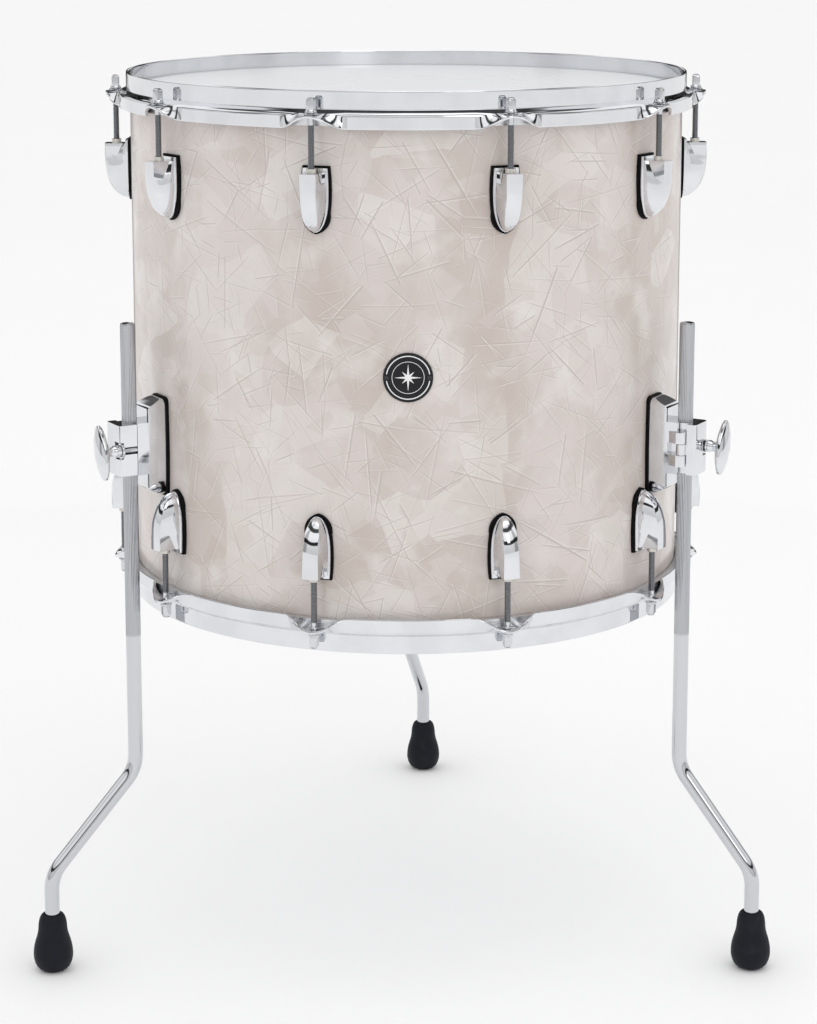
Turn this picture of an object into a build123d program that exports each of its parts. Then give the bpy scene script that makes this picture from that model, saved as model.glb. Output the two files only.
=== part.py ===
from build123d import *

import os

# A floor tom: a wrapped wooden shell between two film heads, held by pressed steel hoops,
# ten tension rods and lugs a head, on three height-adjustable bent legs with rubber feet.
#
# Frame: millimetres, +Z up, origin on the floor under the shell's axis, front towards -Y.
# A place round the shell is an angle from the front, positive towards +X, and every piece is
# first made at the front: X runs along the shell, -Y runs outwards, and Y = -radius.

# ---------------------------------------------------------------- driving dimensions

SHELL_DEPTH = 406.4
SHELL_OUTER = 227.3
SHELL_WALL = 6.0
WRAP_THICK = 0.5
MIDDLE_Z = 503.05

BEARING_PEAK = 225.4
BEARING_FALL = 4.2
OUTER_ROUND = 1.9
WRAP_SHORT = 3.0

HOOP_RISE = 13.1
HOOP_INNER = 228.7
HOOP_GAUGE = 2.2
LIP_OUTER = 237.0
LIP_DROP = 15.0
FLANGE_DROP = 1.4

ROD_CIRCLE = 240.4
ROD_COUNT = 10
ROD_TURN = 0.88
ROD_RADIUS = 2.5
RUN_CLEARANCE = 0.05

EAR_TOP_DROP = 4.3
EAR_GAUGE = 2.3
EAR_RADIUS = 8.9

LUG_FLAT_DROP = 47.9
LUG_TIP_DROP = 93.8
LUG_BASE_DROP = 44.9
LUG_OUTER = 250.3

GASKET_THICK = 2.4
WRAP_GAP = 0.05

BRACKET_ANGLES = {"left": -59.5, "right": 60.5, "back": 180.5}
KNOB_LEAN = {"left": -17.0, "right": 17.0, "back": 12.0}
LEG_TOE = {"left": -5.0, "right": 1.5, "back": -16.0}

LEG_AXIS = 256.0
LEG_RADIUS = 6.0
LEG_TOP = 528.0
LEG_BEND_HIGH = 160.0
LEG_BEND_LOW = 80.0
LEG_REACH = {"left": 73.6, "right": 65.4, "back": 71.6}
LEG_BEND_RADIUS = 32.0
LEG_CHAMFER = 1.0

CLAMP_Z = 427.5
SPLIT_RADIUS = 254.6
GATE_INNER = 255.0
GATE_OUTER = 270.2
GATE_HALF = 12.5
PIN_T = -12.6
PIN_AXIS = 258.0
SCREW_T = 9.6
CLAMP_SCREW_RADIUS = 2.5

SHELL_TOP = MIDDLE_Z + SHELL_DEPTH / 2
SHELL_BOTTOM = MIDDLE_Z - SHELL_DEPTH / 2
SHELL_INNER = SHELL_OUTER - SHELL_WALL
WRAP_OUTER = SHELL_OUTER + WRAP_THICK
GASKET_INNER = WRAP_OUTER + WRAP_GAP
GASKET_OUTER = GASKET_INNER + GASKET_THICK
ROD_STEP = 360 / ROD_COUNT
ROD_ANGLES = [ROD_TURN + ROD_STEP * (k + 0.5) for k in range(ROD_COUNT)]


# ---------------------------------------------------------------- helpers

def ring(points):
    """Turn a closed (radius, height) outline about the drum's axis."""
    outline = Polyline(*[(r, 0, z) for r, z in points], close=True)
    return revolve(make_face(outline), Axis.Z)


def band(inner, outer, low, high):
    """A plain cylindrical band."""
    tube = Cylinder(outer, high - low, align=(Align.CENTER, Align.CENTER, Align.MIN))
    bore = Cylinder(inner, high - low, align=(Align.CENTER, Align.CENTER, Align.MIN))
    return Pos(0, 0, low) * (tube - bore)


def outward(face, start, end):
    """Push a face drawn as (along the shell, height) outwards between two radii."""
    return extrude(Plane.XZ.offset(start) * face, end - start)


def outward_rod(radius, start, end, along, height):
    """A round bar that points outwards."""
    return outward(Pos(along, height) * Circle(radius), start, end)


def upright(radius, low, high, along, out):
    """A round bar that stands parallel to the drum's axis."""
    bar = Cylinder(radius, high - low, align=(Align.CENTER, Align.CENTER, Align.MIN))
    return Pos(along, -out, low) * bar


def block(along, out, height):
    """A box from its (low, high) spans along the shell, outwards and in height."""
    size = (along[1] - along[0], out[1] - out[0], height[1] - height[0])
    centre = (sum(along) / 2, -sum(out) / 2, sum(height) / 2)
    return Pos(*centre) * Box(*size)


def placed(piece, angle):
    """Move a piece made at the front to its angle round the shell."""
    return Rot(0, 0, angle) * piece


def all_round(piece, angles):
    """One copy of a piece at each angle."""
    return [placed(piece, angle) for angle in angles]


def upside_down(piece):
    """The matching piece at the other end of the shell."""
    return Pos(0, 0, 2 * MIDDLE_Z) * mirror(piece, about=Plane.XY)


def both_ends(piece):
    """A small piece at every lug, at the top and at the bottom."""
    top = all_round(piece, ROD_ANGLES)
    return top + [upside_down(copy) for copy in top]


def solids_of(pieces):
    """Every solid in a list of pieces."""
    return [solid for piece in pieces for solid in piece.solids()]


def save(name, *pieces):
    """Write one node, a single solid or a group of like pieces."""
    found = solids_of(pieces)
    node = found[0] if len(found) == 1 else Compound(children=found)
    node.label = name
    export_step(node, f"parts/{name}.step")


# ---------------------------------------------------------------- shell and wrap

FIXING_SCREW_RADIUS = 2.0
FIXING_HOLE_RADIUS = 2.2
LUG_SCREW_DROPS = (52.5, 84.0)
LUG_SCREW_TIP = 235.5

BRACKET_SCREW_Z = (396.5, 458.5)
BRACKET_SCREW_RADIUS = 3.0
BRACKET_HOLE_RADIUS = 3.2
BRACKET_SCREW_TIP = 241.0

VENT_ANGLE = -144.0
VENT_TUBE = 6.2
VENT_BORE = 5.0

BADGE_TURN = 0.35
BADGE_RADIUS = 19.0
BADGE_THICK = 1.1
BADGE_RIVET_T = 16.4
RIVET_SHANK = 0.9


def fixing_holes(start, end):
    """Cutters for every screw, rivet and vent hole through the shell wall."""
    cutters = []
    for drop in LUG_SCREW_DROPS:
        hole = outward_rod(FIXING_HOLE_RADIUS, start, end, 0, SHELL_TOP - drop)
        cutters += all_round(hole, ROD_ANGLES)
        cutters += all_round(upside_down(hole), ROD_ANGLES)
    for height in BRACKET_SCREW_Z:
        hole = outward_rod(BRACKET_HOLE_RADIUS, start, end, 0, height)
        cutters += all_round(hole, BRACKET_ANGLES.values())
    for side in (-1, 1):
        hole = outward_rod(RIVET_SHANK, start, end, side * BADGE_RIVET_T, MIDDLE_Z)
        cutters.append(placed(hole, BADGE_TURN))
    cutters.append(placed(outward_rod(VENT_TUBE, start, end, 0, MIDDLE_Z), VENT_ANGLE))
    return cutters


def shell():
    """Ply cylinder with a bearing edge cut at each end."""
    outline = [
        (SHELL_INNER, SHELL_BOTTOM + BEARING_FALL),
        (BEARING_PEAK, SHELL_BOTTOM),
        (SHELL_OUTER, SHELL_BOTTOM + OUTER_ROUND),
        (SHELL_OUTER, SHELL_TOP - OUTER_ROUND),
        (BEARING_PEAK, SHELL_TOP),
        (SHELL_INNER, SHELL_TOP - BEARING_FALL),
    ]
    return ring(outline) - fixing_holes(SHELL_INNER - 2, SHELL_OUTER + 2)


def wrap():
    """Plastic covering glued round the shell, short of the bearing edges."""
    sheet = band(SHELL_OUTER, WRAP_OUTER, SHELL_BOTTOM + WRAP_SHORT, SHELL_TOP - WRAP_SHORT)
    return sheet - fixing_holes(SHELL_OUTER - 1, WRAP_OUTER + 1)


# ---------------------------------------------------------------- heads and hoops

FLESH_INNER = 228.75
FLESH_OUTER = 234.4
FLESH_TOP_DROP = 5.1
FLESH_HEIGHT = 8.0
COLLAR_OUTER = 228.45


def head(film):
    """Stretched film that lies on the bearing edge and turns down to its flesh hoop."""
    top = SHELL_TOP + film
    outline = [
        (0, SHELL_TOP),
        (BEARING_PEAK, SHELL_TOP),
        (COLLAR_OUTER - film, SHELL_TOP - 2.6),
        (COLLAR_OUTER - film, SHELL_TOP - FLESH_TOP_DROP),
        (COLLAR_OUTER, SHELL_TOP - FLESH_TOP_DROP),
        (COLLAR_OUTER, SHELL_TOP - 2.4),
        (BEARING_PEAK + 0.1, top),
        (0, top),
    ]
    return ring(outline)


def flesh_hoop():
    """Aluminium channel that grips the film's edge under the hoop."""
    top = SHELL_TOP - FLESH_TOP_DROP
    low = top - FLESH_HEIGHT
    return ring([
        (COLLAR_OUTER + 0.02, low),
        (FLESH_OUTER, low),
        (FLESH_OUTER, top),
        (FLESH_INNER + 0.6, top),
        (COLLAR_OUTER + 0.02, top - 0.7),
    ])


def hoop_section():
    """The hoop's rolled section: upright rim, flat flange and turned-down lip."""
    rim = SHELL_TOP + HOOP_RISE
    outer = HOOP_INNER + HOOP_GAUGE
    seat = SHELL_TOP - FLESH_TOP_DROP
    lip_low = SHELL_TOP - LIP_DROP
    shoulder = SHELL_TOP - FLANGE_DROP
    points = [
        (HOOP_INNER, rim),
        (outer, rim),
        (outer, shoulder),
        (LIP_OUTER - 2.2, shoulder - 1.7),
        (LIP_OUTER - 0.6, shoulder - 2.4),
        (LIP_OUTER, shoulder - 3.6),
        (LIP_OUTER, lip_low),
        (LIP_OUTER - HOOP_GAUGE, lip_low),
        (LIP_OUTER - HOOP_GAUGE, seat),
        (HOOP_INNER + 0.8, seat),
        (HOOP_INNER, seat + 0.8),
    ]
    return ring(points)


def ear():
    """Rod tab that stands out from the hoop's flange."""
    top = SHELL_TOP - EAR_TOP_DROP
    root = Polyline((-14, -235.2), (14, -235.2), (8.2, -243.8), (-8.2, -243.8), close=True)
    plan = make_face(root) + Pos(0, -ROD_CIRCLE) * Circle(EAR_RADIUS)
    plan = plan - Circle(LIP_OUTER - HOOP_GAUGE)
    return Pos(0, 0, top - EAR_GAUGE) * extrude(plan, EAR_GAUGE)


def ear_arch():
    """Arch cut in the lip under a rod tab."""
    low = SHELL_TOP - LIP_DROP - 0.5
    crown = SHELL_TOP - EAR_TOP_DROP - EAR_GAUGE
    arch = ThreePointArc((-14, low), (0, crown), (14, low))
    return outward(make_face(arch + Line((-14, low), (14, low))), LIP_OUTER - 2.6, 242)


def hoop():
    """Pressed steel hoop with ten rod tabs, each with its rod hole."""
    low = SHELL_TOP - EAR_TOP_DROP - EAR_GAUGE - 1
    hole = upright(3.4, low, low + EAR_GAUGE + 2, 0, ROD_CIRCLE)
    seat = upright(6.0, low + EAR_GAUGE + 1, SHELL_TOP + 1, 0, ROD_CIRCLE)
    body = hoop_section() - all_round(ear_arch(), ROD_ANGLES)
    body = body + all_round(ear(), ROD_ANGLES)
    return body - all_round(hole, ROD_ANGLES) - all_round(seat, ROD_ANGLES)


# ---------------------------------------------------------------- tension rods and lugs

WASHER_THICK = 1.3
COLLAR_THICK = 2.4
KEY_SQUARE = 6.3
KEY_HEIGHT = 8.8
THRUST_GAP = 0.1
ROD_END_DROP = 62.0
NUT_RADIUS = 3.9
NUT_TOP_DROP = 44.6
NUT_LENGTH = 21.0
LUG_BORE_DEPTH = 68.5


def rod_washer():
    """Washer between a rod's collar and the hoop."""
    low = SHELL_TOP - EAR_TOP_DROP
    disc = upright(5.6, low, low + WASHER_THICK, 0, ROD_CIRCLE)
    return disc - upright(ROD_RADIUS + 0.1, low - 1, low + WASHER_THICK + 1, 0, ROD_CIRCLE)


def tension_rod():
    """Rod with a round collar and a square, domed key head."""
    low = SHELL_TOP - EAR_TOP_DROP + WASHER_THICK + THRUST_GAP
    neck = low + COLLAR_THICK
    shaft = upright(ROD_RADIUS, SHELL_TOP - ROD_END_DROP, low + 1, 0, ROD_CIRCLE)
    collar = upright(4.6, low, neck, 0, ROD_CIRCLE)
    key = block(
        (-KEY_SQUARE / 2, KEY_SQUARE / 2),
        (ROD_CIRCLE - KEY_SQUARE / 2, ROD_CIRCLE + KEY_SQUARE / 2),
        (neck - 0.5, neck + KEY_HEIGHT),
    )
    dome = Pos(0, -ROD_CIRCLE, neck + KEY_HEIGHT - 5.0) * Sphere(5.0)
    key = key & (dome + upright(6, neck - 0.5, neck + KEY_HEIGHT - 4.4, 0, ROD_CIRCLE))
    return shaft + collar + key


def swivel_nut():
    """Threaded insert that sits in a lug and takes the rod."""
    top = SHELL_TOP - NUT_TOP_DROP
    nut = upright(NUT_RADIUS, top - NUT_LENGTH, top, 0, ROD_CIRCLE)
    bore = upright(
        ROD_RADIUS + RUN_CLEARANCE, top - NUT_LENGTH - 1, top + 1, 0, ROD_CIRCLE
    )
    return nut - bore


def lug_outline(flat, half, grow=0.0):
    """Bullet outline: flat towards the hoop, rounded away from it, sides a little bulged."""
    top = SHELL_TOP - flat + grow
    tip = SHELL_TOP - LUG_TIP_DROP - grow
    wide = half + grow
    side_z = top - 17
    tip_z = tip + 16
    edges = [
        Line((-wide + 1.2, top), (wide - 1.2, top)),
        ThreePointArc((wide - 1.2, top), (wide, side_z), (wide - 1.1, tip_z)),
        ThreePointArc((wide - 1.1, tip_z), (wide * 0.62, tip + 4.2), (0, tip)),
        ThreePointArc((0, tip), (-wide * 0.62, tip + 4.2), (-wide + 1.1, tip_z)),
        ThreePointArc((-wide + 1.1, tip_z), (-wide, side_z), (-wide + 1.2, top)),
    ]
    return make_face(Wire(edges))


def lug():
    """Die-cast lug: a thin base against its gasket and a deep hollow bullet for the nut."""
    top = SHELL_TOP - LUG_FLAT_DROP
    tip = SHELL_TOP - LUG_TIP_DROP
    base = outward(lug_outline(LUG_BASE_DROP, 10.6), WRAP_OUTER, GASKET_OUTER + 3.0)
    bullet = outward(lug_outline(LUG_FLAT_DROP, 9.4), WRAP_OUTER, LUG_OUTER)
    profile = [
        (WRAP_OUTER, top),
        (LUG_OUTER - 1.2, top),
        (LUG_OUTER, top - 1.6),
        (LUG_OUTER, top - 15),
        (LUG_OUTER - 1.6, top - 25),
        (LUG_OUTER - 6.0, top - 36),
        (LUG_OUTER - 13.0, tip + 2.5),
        (GASKET_OUTER + 1.5, tip),
        (WRAP_OUTER, tip),
    ]
    side = make_face(Polyline(*[(0, -r, z) for r, z in profile], close=True))
    bullet = bullet & extrude(side, 15, both=True)
    body = (base + bullet) - band(200, GASKET_OUTER, tip - 5, top + 8)
    bore = upright(NUT_RADIUS, SHELL_TOP - LUG_BORE_DEPTH, top + 5, 0, ROD_CIRCLE)
    body = body - bore
    for drop in LUG_SCREW_DROPS:
        hole = outward_rod(
            FIXING_SCREW_RADIUS, GASKET_INNER, LUG_SCREW_TIP, 0, SHELL_TOP - drop
        )
        body = body - hole
    return body


def lug_gasket():
    """Rubber gasket between a lug and the wrap."""
    pad = outward(lug_outline(LUG_BASE_DROP, 10.6, 1.4), WRAP_OUTER - 3, LUG_OUTER)
    pad = pad & band(GASKET_INNER, GASKET_OUTER, SHELL_TOP - 120, SHELL_TOP - 30)
    for drop in LUG_SCREW_DROPS:
        pad = pad - outward_rod(
            FIXING_HOLE_RADIUS, SHELL_INNER, LUG_OUTER, 0, SHELL_TOP - drop
        )
    return pad


def inside_screw(radius, head_radius, head_thick, washer_thick, tip, height):
    """Screw driven outwards through the shell wall, with its head inside the drum."""
    seat = SHELL_INNER - washer_thick - 0.4
    shank = outward_rod(radius, seat - 1, tip, 0, height)
    head_disc = outward_rod(head_radius, seat - head_thick, seat, 0, height)
    slot = block((-head_radius - 1, head_radius + 1), (0, seat - head_thick + 1), (-0.5, 0.5))
    return shank + (head_disc - Pos(0, 0, height) * slot)


def inside_washer(bore, outer, thick, height):
    """Flat washer under an inside screw's head."""
    start = SHELL_INNER - thick - 0.4
    disc = outward_rod(outer, start, start + thick, 0, height)
    return disc - outward_rod(bore, start - 1, start + thick + 1, 0, height)


# ---------------------------------------------------------------- leg brackets

BASE_LOW = 388.0
BASE_HIGH = 466.0
BASE_FRONT = 245.0
BLOCK_LOW = 406.5
BLOCK_HIGH = 448.5
KNUCKLE_RADIUS = 4.0
KNUCKLE_GAP = 0.4
KNUCKLE_HALF = 4.3
KNUCKLE_END = 13.8
PIN_RADIUS = 1.5
GATE_SWING = 12.6
GATE_STEPS = 6
GATE_RELIEF = 0.12
SLOT_HALF = 3.0
SEAT_HALF = 6.8
SEAT_FLOOR = 266.7
CLAMP_WASHER_THICK = 1.8
SHANK_START = 246.0
BOSS_START = 268.7
WING_CENTRE = 284.4


def bracket_outline(grow=0.0):
    """Upright plate with rounded corners and slightly bulged sides."""
    low = BASE_LOW - grow
    high = BASE_HIGH + grow
    wide = GATE_HALF + grow
    corner = 5.0 + grow
    edges = [
        Line((-wide + corner, high), (wide - corner, high)),
        ThreePointArc(
            (wide - corner, high), (wide - 1.7, high - 1.8), (wide - 0.7, high - corner)
        ),
        ThreePointArc(
            (wide - 0.7, high - corner), (wide, CLAMP_Z), (wide - 0.7, low + corner)
        ),
        ThreePointArc(
            (wide - 0.7, low + corner), (wide - 1.7, low + 1.8), (wide - corner, low)
        ),
        Line((wide - corner, low), (-wide + corner, low)),
        ThreePointArc(
            (-wide + corner, low), (-wide + 1.7, low + 1.8), (-wide + 0.7, low + corner)
        ),
        ThreePointArc(
            (-wide + 0.7, low + corner), (-wide, CLAMP_Z), (-wide + 0.7, high - corner)
        ),
        ThreePointArc(
            (-wide + 0.7, high - corner), (-wide + 1.7, high - 1.8), (-wide + corner, high)
        ),
    ]
    return make_face(Wire(edges))


def bracket_side():
    """Side view of the base and the clamp block, with sloped ends."""
    points = [
        (WRAP_OUTER, BASE_LOW),
        (GASKET_OUTER + 3.0, BASE_LOW),
        (BASE_FRONT - 1.5, BASE_LOW + 5.0),
        (BASE_FRONT, BASE_LOW + 7.0),
        (BASE_FRONT, BLOCK_LOW),
        (SPLIT_RADIUS, BLOCK_LOW),
        (SPLIT_RADIUS, BLOCK_HIGH),
        (BASE_FRONT, BLOCK_HIGH),
        (BASE_FRONT, BASE_HIGH - 7.0),
        (BASE_FRONT - 1.5, BASE_HIGH - 5.0),
        (GASKET_OUTER + 3.0, BASE_HIGH),
        (WRAP_OUTER, BASE_HIGH),
    ]
    side = make_face(Polyline(*[(0, -r, z) for r, z in points], close=True))
    return extrude(side, 20, both=True)


def hinge_arm(low, high):
    """One of the bracket's two fixed hinge knuckles."""
    points = [
        (-GATE_HALF + 0.3, 247.0),
        (PIN_T - KNUCKLE_RADIUS, PIN_AXIS - 3.0),
        (PIN_T - KNUCKLE_RADIUS, PIN_AXIS),
        (PIN_T + KNUCKLE_RADIUS, PIN_AXIS),
        (PIN_T + KNUCKLE_RADIUS, 247.0),
    ]
    plan = make_face(Polyline(*[(t, -r) for t, r in points], close=True))
    plan = plan + Pos(PIN_T, -PIN_AXIS) * Circle(KNUCKLE_RADIUS)
    return Pos(0, 0, low) * extrude(plan, high - low)


def bracket():
    """Cast bracket: gasketed base, clamp block with the leg's groove, two hinge knuckles."""
    body = outward(bracket_outline(), WRAP_OUTER, SPLIT_RADIUS) & bracket_side()
    body = body - band(200, GASKET_OUTER, BASE_LOW - 5, BASE_HIGH + 5)
    body = body + hinge_arm(CLAMP_Z - KNUCKLE_END, CLAMP_Z - KNUCKLE_HALF - KNUCKLE_GAP)
    body = body + hinge_arm(CLAMP_Z + KNUCKLE_HALF + KNUCKLE_GAP, CLAMP_Z + KNUCKLE_END)
    pocket_half = KNUCKLE_HALF + KNUCKLE_GAP
    body = body - block(
        (-20, -7.9), (246, PIN_AXIS + 10), (CLAMP_Z - pocket_half, CLAMP_Z + pocket_half)
    )
    body = body - upright(
        LEG_RADIUS + RUN_CLEARANCE, BLOCK_LOW - 5, BLOCK_HIGH + 5, 0, LEG_AXIS
    )
    body = body - outward_rod(
        CLAMP_SCREW_RADIUS + RUN_CLEARANCE, SHANK_START - 2, SPLIT_RADIUS + 1, SCREW_T, CLAMP_Z
    )
    body = body - upright(
        PIN_RADIUS, CLAMP_Z - KNUCKLE_END - 1, CLAMP_Z + KNUCKLE_END + 1, PIN_T, PIN_AXIS
    )
    for height in BRACKET_SCREW_Z:
        body = body - outward_rod(
            BRACKET_SCREW_RADIUS, GASKET_INNER, BRACKET_SCREW_TIP, 0, height
        )
    return body


def bracket_gasket():
    """Rubber gasket between a bracket and the wrap."""
    pad = outward(bracket_outline(1.3), WRAP_OUTER - 4, LEG_AXIS)
    pad = pad & band(GASKET_INNER, GASKET_OUTER, BASE_LOW - 10, BASE_HIGH + 10)
    for height in BRACKET_SCREW_Z:
        pad = pad - outward_rod(BRACKET_HOLE_RADIUS, SHELL_INNER, LEG_AXIS, 0, height)
    return pad


def hinge_pin():
    """Steel pin through the three knuckles, fast in the bracket."""
    return upright(
        PIN_RADIUS, CLAMP_Z - KNUCKLE_END + 0.2, CLAMP_Z + KNUCKLE_END - 0.2, PIN_T, PIN_AXIS
    )


def about_pin(piece, angle):
    """Turn a piece about the hinge pin's axis."""
    return Pos(PIN_T, -PIN_AXIS, 0) * Rot(0, 0, angle) * Pos(-PIN_T, PIN_AXIS, 0) * piece


def gate():
    """Hinged jaw that closes over the leg, with an open seat for the clamp screw."""
    low = BLOCK_LOW + 0.5
    high = BLOCK_HIGH - 0.5
    plan = [
        (-GATE_HALF, GATE_INNER),
        (-GATE_HALF, GATE_OUTER - 1.5),
        (-GATE_HALF + 1.5, GATE_OUTER),
        (GATE_HALF - 3.6, GATE_OUTER),
        (GATE_HALF - 1.0, GATE_OUTER - 1.0),
        (GATE_HALF, GATE_OUTER - 3.6),
        (GATE_HALF, GATE_INNER),
    ]
    face = make_face(Polyline(*[(t, -r) for t, r in plan], close=True))
    body = Pos(0, 0, low) * extrude(face, high - low)
    reach = PIN_AXIS + KNUCKLE_RADIUS + 0.5
    body = body - block((-20, PIN_T + KNUCKLE_RADIUS + 0.5), (250, reach), (low - 1, high + 1))
    arm = block(
        (PIN_T, PIN_T + KNUCKLE_RADIUS + 0.5),
        (PIN_AXIS, reach + 1),
        (CLAMP_Z - KNUCKLE_HALF, CLAMP_Z + KNUCKLE_HALF),
    )
    knuckle = upright(
        KNUCKLE_RADIUS, CLAMP_Z - KNUCKLE_HALF, CLAMP_Z + KNUCKLE_HALF, PIN_T, PIN_AXIS
    )
    body = body + arm + knuckle
    groove = upright(LEG_RADIUS + RUN_CLEARANCE, low - 1, high + 1, 0, LEG_AXIS)
    body = body - groove
    relief = upright(LEG_RADIUS + GATE_RELIEF, low - 1, high + 1, 0, LEG_AXIS)
    for step in range(1, GATE_STEPS + 1):
        body = body - about_pin(relief, GATE_SWING * step / GATE_STEPS)
    body = body - upright(
        PIN_RADIUS + RUN_CLEARANCE, CLAMP_Z - 20, CLAMP_Z + 20, PIN_T, PIN_AXIS
    )
    slot_height = (CLAMP_Z - SLOT_HALF, CLAMP_Z + SLOT_HALF)
    slot = block((SCREW_T - SLOT_HALF, 20), (250, 280), slot_height)
    seat_height = (CLAMP_Z - SEAT_HALF, CLAMP_Z + SEAT_HALF)
    seat = block((SCREW_T - SEAT_HALF, 20), (SEAT_FLOOR, 280), seat_height)
    return body - slot - seat


def clamp_washer():
    """Washer that the clamp screw drives into the gate's seat."""
    start = SEAT_FLOOR + THRUST_GAP
    disc = outward_rod(6.2, start, start + CLAMP_WASHER_THICK, SCREW_T, CLAMP_Z)
    return disc - outward_rod(CLAMP_SCREW_RADIUS + 0.1, 260, 280, SCREW_T, CLAMP_Z)


def wing_knob():
    """Oval lens-shaped wing of a clamp screw, its long way upright."""
    half_long = 22.0
    squash = 0.43
    outline = [
        Line((0, -5.4), (0, 5.4)),
        ThreePointArc((0, 5.4), (half_long * 0.6, 4.0), (half_long, 1.4)),
        ThreePointArc((half_long, 1.4), (half_long + 0.5, 0), (half_long, -1.4)),
        ThreePointArc((half_long, -1.4), (half_long * 0.6, -4.0), (0, -5.4)),
    ]
    section = Plane.XZ * make_face(Wire(outline))
    lens = scale(revolve(section, Axis.Z), by=(squash, 1, 1))
    return Rot(90, 0, 0) * lens


def t_screw(lean):
    """Clamp screw: threaded shank, round boss and oval wing knob in one piece."""
    shank = outward_rod(CLAMP_SCREW_RADIUS, SHANK_START, BOSS_START + 1, SCREW_T, CLAMP_Z)
    boss = outward_rod(5.0, BOSS_START, WING_CENTRE - 3, SCREW_T, CLAMP_Z)
    wing = Pos(SCREW_T, -WING_CENTRE, CLAMP_Z) * Rot(0, lean, 0) * wing_knob()
    return shank + boss + wing


# ---------------------------------------------------------------- legs and feet

FOOT_TOP = 47.5
LEG_END = 9.0


def leg_place(piece, side):
    """Turn a straight-ahead leg piece to its toe and its bracket."""
    toed = Pos(0, -LEG_AXIS, 0) * Rot(0, 0, LEG_TOE[side]) * piece
    return placed(toed, BRACKET_ANGLES[side])


def leg(reach):
    """Steel rod, straight through the clamp, cranked outwards and down into the foot."""
    end = LEG_TOP - LEG_CHAMFER
    route = [
        (0, 0, LEG_END),
        (0, 0, LEG_BEND_LOW),
        (0, reach, LEG_BEND_HIGH),
        (0, reach, end),
    ]
    path = FilletPolyline(*route, radius=LEG_BEND_RADIUS)
    rod = sweep(Plane((0, 0, LEG_END), z_dir=(0, 0, 1)) * Circle(LEG_RADIUS), path=path)
    seated = (Align.CENTER, Align.CENTER, Align.MIN)
    tip = Cone(LEG_RADIUS, LEG_RADIUS - LEG_CHAMFER, LEG_CHAMFER, align=seated)
    return Pos(0, -reach, 0) * (rod + Pos(0, reach, end) * tip)


def foot(reach):
    """Rubber foot pushed on the leg's end."""
    edges = [
        Line((0, 0), (8.0, 0)),
        ThreePointArc((8.0, 0), (14.2, 4.6), (16.0, 13.5)),
        Spline((16.0, 13.5), (14.9, 22.0), (12.4, 30.0), (11.5, 35.0)),
        ThreePointArc((11.5, 35.0), (10.9, 42.4), (8.5, FOOT_TOP)),
        Line((8.5, FOOT_TOP), (LEG_RADIUS, FOOT_TOP)),
        Line((LEG_RADIUS, FOOT_TOP), (LEG_RADIUS, LEG_END)),
        Line((LEG_RADIUS, LEG_END), (0, LEG_END)),
        Line((0, LEG_END), (0, 0)),
    ]
    section = Plane.XZ * make_face(Wire(edges))
    return Pos(0, -reach, 0) * revolve(section, Axis.Z)


# ---------------------------------------------------------------- badge and vent

def badge():
    """Round badge bent to the shell, with its two rivet holes."""
    disc = outward(Pos(0, MIDDLE_Z) * Circle(BADGE_RADIUS), WRAP_OUTER - 3, WRAP_OUTER + 5)
    disc = disc & band(
        WRAP_OUTER + WRAP_GAP, WRAP_OUTER + WRAP_GAP + BADGE_THICK, MIDDLE_Z - 30, MIDDLE_Z + 30
    )
    for side in (-1, 1):
        disc = disc - outward_rod(RIVET_SHANK, 200, 250, side * BADGE_RIVET_T, MIDDLE_Z)
    return placed(disc, BADGE_TURN)


def badge_rivet(side):
    """Small round-headed rivet."""
    along = side * BADGE_RIVET_T
    face = (WRAP_OUTER**2 - along**2) ** 0.5 + WRAP_GAP + BADGE_THICK
    shank = outward_rod(RIVET_SHANK, SHELL_INNER - 2, face + 0.3, along, MIDDLE_Z)
    head_disc = outward_rod(1.7, face + 0.15, face + 0.75, along, MIDDLE_Z)
    return placed(shank + head_disc, BADGE_TURN)


def vent_grommet():
    """Metal eyelet round the shell's air hole."""
    tube = outward_rod(VENT_TUBE, SHELL_INNER - 0.8, WRAP_OUTER + 0.4, 0, MIDDLE_Z)
    outer = outward_rod(9.6, WRAP_OUTER + 0.05, WRAP_OUTER + 1.25, 0, MIDDLE_Z)
    inner = outward_rod(8.6, SHELL_INNER - 1.6, SHELL_INNER - 0.6, 0, MIDDLE_Z)
    bore = outward_rod(VENT_BORE, SHELL_INNER - 5, WRAP_OUTER + 5, 0, MIDDLE_Z)
    return placed(tube + outer + inner - bore, VENT_ANGLE)


# ---------------------------------------------------------------- build

os.makedirs("parts", exist_ok=True)

save("shell", shell())
save("wrap", wrap())
save("badge", badge())
save("badge_rivets", badge_rivet(-1), badge_rivet(1))
save("vent_grommet", vent_grommet())

save("batter_head", head(0.35))
save("batter_flesh_hoop", flesh_hoop())
save("resonant_head", upside_down(head(0.3)))
save("resonant_flesh_hoop", upside_down(flesh_hoop()))

top_hoop = hoop()
save("top_hoop", top_hoop)
save("bottom_hoop", upside_down(top_hoop))

top_lugs = all_round(lug(), ROD_ANGLES)
save("top_lugs", *top_lugs)
save("bottom_lugs", *[upside_down(piece) for piece in top_lugs])

save("lug_gaskets", *both_ends(lug_gasket()))
save("swivel_nuts", *both_ends(swivel_nut()))
save("rod_washers", *both_ends(rod_washer()))

screws = []
washers = []
for drop in LUG_SCREW_DROPS:
    height = SHELL_TOP - drop
    screws += both_ends(
        inside_screw(FIXING_SCREW_RADIUS, 3.8, 2.6, 1.0, LUG_SCREW_TIP, height)
    )
    washers += both_ends(inside_washer(FIXING_SCREW_RADIUS, 5.5, 1.0, height))
save("lug_screws", *screws)
save("lug_screw_washers", *washers)

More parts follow.
